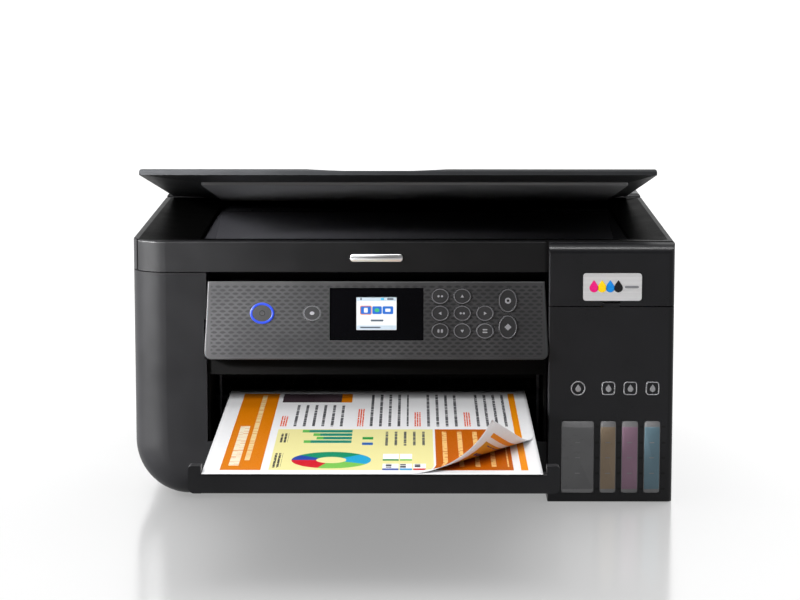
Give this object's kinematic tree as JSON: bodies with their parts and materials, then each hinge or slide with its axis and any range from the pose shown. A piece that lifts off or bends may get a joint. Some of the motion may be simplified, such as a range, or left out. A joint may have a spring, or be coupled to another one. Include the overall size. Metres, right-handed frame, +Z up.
{
  "type": "inkjet printer",
  "caption": "Flatbed inkjet printer with side ink tanks, hinged lid and scanner unit, tilting button panel, sliding paper tray and a rear paper feeder.",
  "frame": {"origin": "on the table, under the middle of the printer with its tray pulled out", "axes": "+X to the right as the user sees it, +Y towards the back, +Z up"},
  "size_m": [0.375, 0.563, 0.2311],
  "materials": {
    "lower_case": "fine satin grain",
    "front_frame": "satin",
    "tank_case": "fine satin grain",
    "black_tank": "smoky translucent",
    "color_tanks": "smoky translucent",
    "fill_necks": "satin",
    "ink_fill": "liquid",
    "chassis": "zinc plated",
    "carriage_belt": "ribbed",
    "platen": "satin",
    "maintenance_station": "satin",
    "mainboard": "solder mask",
    "power_supply": "satin",
    "rear_feeder": "fine satin grain",
    "star_wheels": "satin",
    "scanner_hinges": "satin",
    "feet": "matte",
    "screws": "zinc plated",
    "tank_cover": "fine satin grain",
    "badge_plate": "satin metallic foil",
    "cap_black": "satin",
    "cap_yellow": "satin",
    "cap_magenta": "satin",
    "cap_cyan": "satin",
    "control_panel": "moulded rhombic texture",
    "panel_window": "gloss",
    "lcd_screen": "lit display",
    "power_button": "satin",
    "network_button": "satin",
    "home_button": "satin",
    "up_button": "satin",
    "left_button": "satin",
    "ok_button": "satin",
    "right_button": "satin",
    "help_button": "satin",
    "down_button": "satin",
    "back_button": "satin",
    "stop_button": "satin",
    "start_button": "satin",
    "scanner_base": "satin",
    "scanner_frame": "fine satin grain",
    "scanner_glass": "polished",
    "scan_bar": "satin",
    "lid": "fine satin grain",
    "lid_pad": "soft foam face",
    "print_carriage": "satin",
    "print_head": "satin",
    "feed_roller": "matte",
    "exit_roller": "matte",
    "pickup_roller": "matte",
    "output_tray": "satin grain",
    "tray_extension": "satin grain",
    "paper_support": "fine satin grain",
    "feeder_guard": "fine satin grain",
    "left_guide": "fine satin grain",
    "right_guide": "fine satin grain",
    "rear_cover": "fine satin grain",
    "drive_pulley": "satin",
    "idler_pulley": "satin",
    "printed_sheet": "printed"
  },
  "bodies": {
    "case": {"lower_case": "lower_case", "front_frame": "front_frame", "tank_case": "tank_case", "black_tank": "black_tank", "color_tanks": "color_tanks", "fill_necks": "fill_necks", "ink_fill": "ink_fill", "chassis": "chassis", "carriage_belt": "carriage_belt", "platen": "platen", "maintenance_station": "maintenance_station", "mainboard": "mainboard", "power_supply": "power_supply", "rear_feeder": "rear_feeder", "star_wheels": "star_wheels", "scanner_hinges": "scanner_hinges", "feet": "feet", "screws": "screws"},
    "tank_door": {"tank_cover": "tank_cover", "badge_plate": "badge_plate"},
    "cap_black": {"cap_black": "cap_black"},
    "cap_yellow": {"cap_yellow": "cap_yellow"},
    "cap_magenta": {"cap_magenta": "cap_magenta"},
    "cap_cyan": {"cap_cyan": "cap_cyan"},
    "panel": {"control_panel": "control_panel", "panel_window": "panel_window", "lcd_screen": "lcd_screen"},
    "power_button": {"power_button": "power_button"},
    "network_button": {"network_button": "network_button"},
    "home_button": {"home_button": "home_button"},
    "up_button": {"up_button": "up_button"},
    "left_button": {"left_button": "left_button"},
    "ok_button": {"ok_button": "ok_button"},
    "right_button": {"right_button": "right_button"},
    "help_button": {"help_button": "help_button"},
    "down_button": {"down_button": "down_button"},
    "back_button": {"back_button": "back_button"},
    "stop_button": {"stop_button": "stop_button"},
    "start_button": {"start_button": "start_button"},
    "scanner": {"scanner_base": "scanner_base", "scanner_frame": "scanner_frame", "scanner_glass": "scanner_glass"},
    "scan_bar": {"scan_bar": "scan_bar"},
    "lid": {"lid": "lid", "lid_pad": "lid_pad"},
    "carriage": {"print_carriage": "print_carriage", "print_head": "print_head"},
    "feed_roller": {"feed_roller": "feed_roller"},
    "exit_roller": {"exit_roller": "exit_roller"},
    "pickup_roller": {"pickup_roller": "pickup_roller"},
    "tray": {"output_tray": "output_tray"},
    "tray_extension": {"tray_extension": "tray_extension"},
    "paper_support": {"paper_support": "paper_support"},
    "feeder_guard": {"feeder_guard": "feeder_guard"},
    "left_guide": {"left_guide": "left_guide"},
    "right_guide": {"right_guide": "right_guide"},
    "rear_cover": {"rear_cover": "rear_cover"},
    "drive_pulley": {"drive_pulley": "drive_pulley"},
    "idler_pulley": {"idler_pulley": "idler_pulley"},
    "printed_sheet": {"printed_sheet": "printed_sheet"}
  },
  "joints": [
    {"name": "tank_door_hinge", "type": "hinge", "parent": "case", "child": "tank_door", "pos_m": [0.144, -0.0643, 0.1394], "axis": [1, 0, 0], "range_deg": [0, 90]},
    {"name": "cap_black_hinge", "type": "hinge", "parent": "case", "child": "cap_black", "pos_m": [0.12165, -0.0245, 0.1435], "axis": [-1, 0, 0], "range_deg": [0, 100]},
    {"name": "cap_yellow_hinge", "type": "hinge", "parent": "case", "child": "cap_yellow", "pos_m": [0.14265, -0.0245, 0.1435], "axis": [-1, 0, 0], "range_deg": [0, 100]},
    {"name": "cap_magenta_hinge", "type": "hinge", "parent": "case", "child": "cap_magenta", "pos_m": [0.15775, -0.0245, 0.1435], "axis": [-1, 0, 0], "range_deg": [0, 100]},
    {"name": "cap_cyan_hinge", "type": "hinge", "parent": "case", "child": "cap_cyan", "pos_m": [0.17315, -0.0245, 0.1435], "axis": [-1, 0, 0], "range_deg": [0, 100]},
    {"name": "panel_tilt", "type": "hinge", "parent": "case", "child": "panel", "pos_m": [-0.0175, -0.05426, 0.14552], "axis": [-1, 0, 0], "range_deg": [0, 45]},
    {"name": "power_press", "type": "slide", "parent": "panel", "child": "power_button", "axis": [0, 0.989, -0.1482], "range_m": [0, 0.0007], "stiffness_N_per_m": 1200, "springref_m": -0.0004},
    {"name": "network_press", "type": "slide", "parent": "panel", "child": "network_button", "axis": [0, 0.989, -0.1482], "range_m": [0, 0.0007], "stiffness_N_per_m": 1200, "springref_m": -0.0004},
    {"name": "home_press", "type": "slide", "parent": "panel", "child": "home_button", "axis": [0, 0.989, -0.1482], "range_m": [0, 0.0007], "stiffness_N_per_m": 1200, "springref_m": -0.0004},
    {"name": "up_press", "type": "slide", "parent": "panel", "child": "up_button", "axis": [0, 0.989, -0.1482], "range_m": [0, 0.0007], "stiffness_N_per_m": 1200, "springref_m": -0.0004},
    {"name": "left_press", "type": "slide", "parent": "panel", "child": "left_button", "axis": [0, 0.989, -0.1482], "range_m": [0, 0.0007], "stiffness_N_per_m": 1200, "springref_m": -0.0004},
    {"name": "ok_press", "type": "slide", "parent": "panel", "child": "ok_button", "axis": [0, 0.989, -0.1482], "range_m": [0, 0.0007], "stiffness_N_per_m": 1200, "springref_m": -0.0004},
    {"name": "right_press", "type": "slide", "parent": "panel", "child": "right_button", "axis": [0, 0.989, -0.1482], "range_m": [0, 0.0007], "stiffness_N_per_m": 1200, "springref_m": -0.0004},
    {"name": "help_press", "type": "slide", "parent": "panel", "child": "help_button", "axis": [0, 0.989, -0.1482], "range_m": [0, 0.0007], "stiffness_N_per_m": 1200, "springref_m": -0.0004},
    {"name": "down_press", "type": "slide", "parent": "panel", "child": "down_button", "axis": [0, 0.989, -0.1482], "range_m": [0, 0.0007], "stiffness_N_per_m": 1200, "springref_m": -0.0004},
    {"name": "back_press", "type": "slide", "parent": "panel", "child": "back_button", "axis": [0, 0.989, -0.1482], "range_m": [0, 0.0007], "stiffness_N_per_m": 1200, "springref_m": -0.0004},
    {"name": "stop_press", "type": "slide", "parent": "panel", "child": "stop_button", "axis": [0, 0.989, -0.1482], "range_m": [0, 0.0007], "stiffness_N_per_m": 1200, "springref_m": -0.0004},
    {"name": "start_press", "type": "slide", "parent": "panel", "child": "start_button", "axis": [0, 0.989, -0.1482], "range_m": [0, 0.0007], "stiffness_N_per_m": 1200, "springref_m": -0.0004},
    {"name": "scanner_hinge", "type": "hinge", "parent": "case", "child": "scanner", "pos_m": [0, 0.2145, 0.172], "axis": [1, 0, 0], "range_deg": [-32, 0]},
    {"name": "scan_bar_slide", "type": "slide", "parent": "scanner", "child": "scan_bar", "axis": [1, 0, 0], "range_m": [0, 0.29]},
    {"name": "lid_hinge", "type": "hinge", "parent": "scanner", "child": "lid", "pos_m": [-0.003, 0.217, 0.183], "axis": [-1, 0, 0], "range_deg": [-9.42, 60]},
    {"name": "carriage_slide", "type": "slide", "parent": "case", "child": "carriage", "axis": [-1, 0, 0], "range_m": [0, 0.29]},
    {"name": "drive_pulley_spin", "type": "hinge", "parent": "case", "child": "drive_pulley", "pos_m": [-0.168, 0.0975, 0.112], "axis": [0, 1, 0], "continuous": true},
    {"name": "idler_pulley_spin", "type": "hinge", "parent": "case", "child": "idler_pulley", "pos_m": [0.168, 0.0975, 0.112], "axis": [0, 1, 0], "continuous": true},
    {"name": "feed_roller_spin", "type": "hinge", "parent": "case", "child": "feed_roller", "pos_m": [-0.0175, 0.0925, 0.061], "axis": [1, 0, 0], "continuous": true},
    {"name": "exit_roller_spin", "type": "hinge", "parent": "case", "child": "exit_roller", "pos_m": [-0.0175, 0.0085, 0.0609], "axis": [1, 0, 0], "continuous": true},
    {"name": "pickup_roller_spin", "type": "hinge", "parent": "case", "child": "pickup_roller", "pos_m": [-0.0175, 0.2455, 0.084], "axis": [1, 0, 0], "continuous": true},
    {"name": "tray_slide", "type": "slide", "parent": "case", "child": "tray", "axis": [0, 0.9986, -0.0523], "range_m": [0, 0.111]},
    {"name": "tray_extension_slide", "type": "slide", "parent": "tray", "child": "tray_extension", "axis": [0, 0.9986, -0.0523], "range_m": [0, 0.111]},
    {"name": "paper_support_slide", "type": "slide", "parent": "case", "child": "paper_support", "axis": [0, 0, 1], "range_m": [0, 0.058]},
    {"name": "feeder_guard_hinge", "type": "hinge", "parent": "case", "child": "feeder_guard", "pos_m": [-0.0175, 0.235, 0.1854], "axis": [1, 0, 0], "range_deg": [0, 100]},
    {"name": "left_guide_slide", "type": "slide", "parent": "case", "child": "left_guide", "axis": [1, 0, 0], "range_m": [0, 0.055]},
    {"name": "right_guide_slide", "type": "slide", "parent": "case", "child": "right_guide", "axis": [1, 0, 0], "range_m": [-0.055, 0]},
    {"name": "rear_cover_removal", "type": "slide", "parent": "case", "child": "rear_cover", "axis": [0, 1, 0], "range_m": [0, 0.05]},
    {"name": "sheet_removal", "type": "slide", "parent": "case", "child": "printed_sheet", "axis": [0, -1, 0], "range_m": [0, 0.25]}
  ],
  "couplings": [
    {"joint": "drive_pulley_spin", "follows": "carriage_slide", "rad_per_m": -131.58},
    {"joint": "idler_pulley_spin", "follows": "carriage_slide", "rad_per_m": -131.58},
    {"joint": "exit_roller_spin", "follows": "feed_roller_spin", "ratio": 1.1321},
    {"joint": "right_guide_slide", "follows": "left_guide_slide", "ratio": -1}
  ]
}
